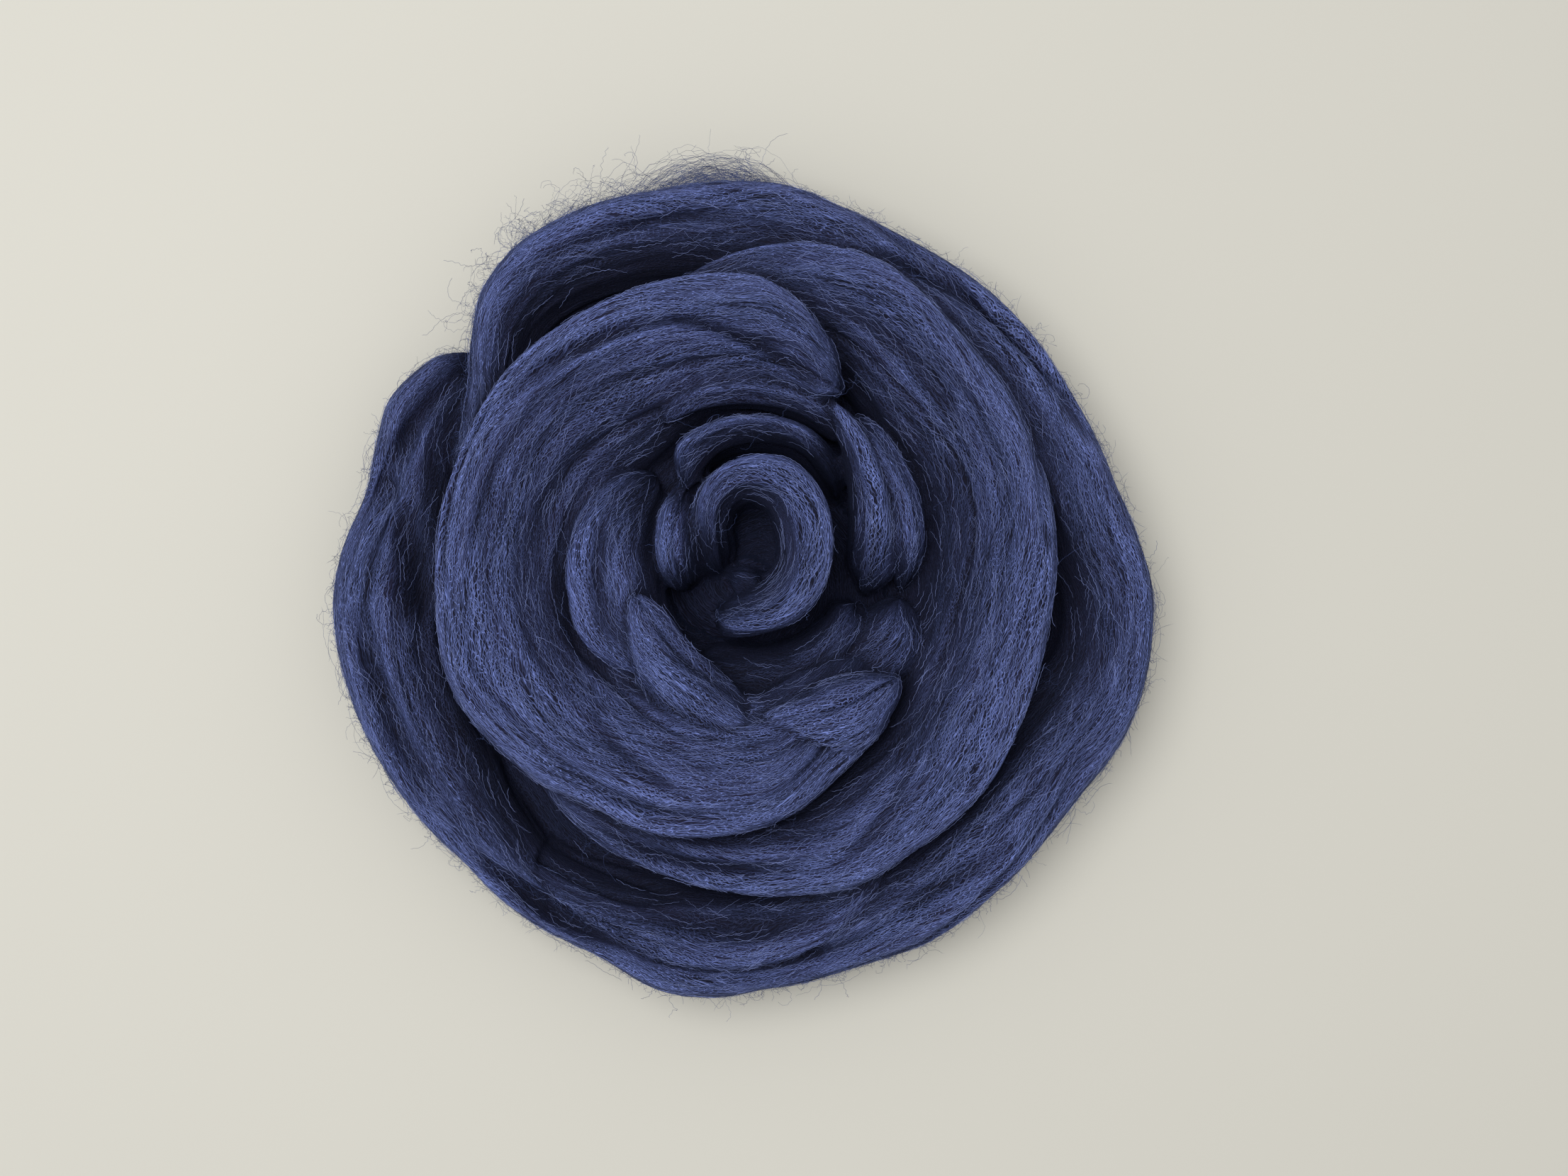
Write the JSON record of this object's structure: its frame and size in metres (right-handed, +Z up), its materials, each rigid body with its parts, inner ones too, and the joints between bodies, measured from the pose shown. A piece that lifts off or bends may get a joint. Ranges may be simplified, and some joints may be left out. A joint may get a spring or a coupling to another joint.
{
  "type": "wool roving coil",
  "caption": "Soft strand of combed navy wool wound anticlockwise into a flat, rose-like coil that rests on its broad underside.",
  "frame": {"origin": "middle of the footprint, on the surface that the coil lies on", "axes": "+Z up; +X to the right and +Y away from the viewer who has the strand's outer end at the upper left"},
  "size_m": [0.2, 0.199, 0.0409],
  "materials": {
    "navy_wool": "dyed combed wool, matte with a soft sheen, fine crimped fibres along the strand"
  },
  "bodies": {
    "root": {"roving_coil": "navy_wool"}
  },
  "joints": []
}
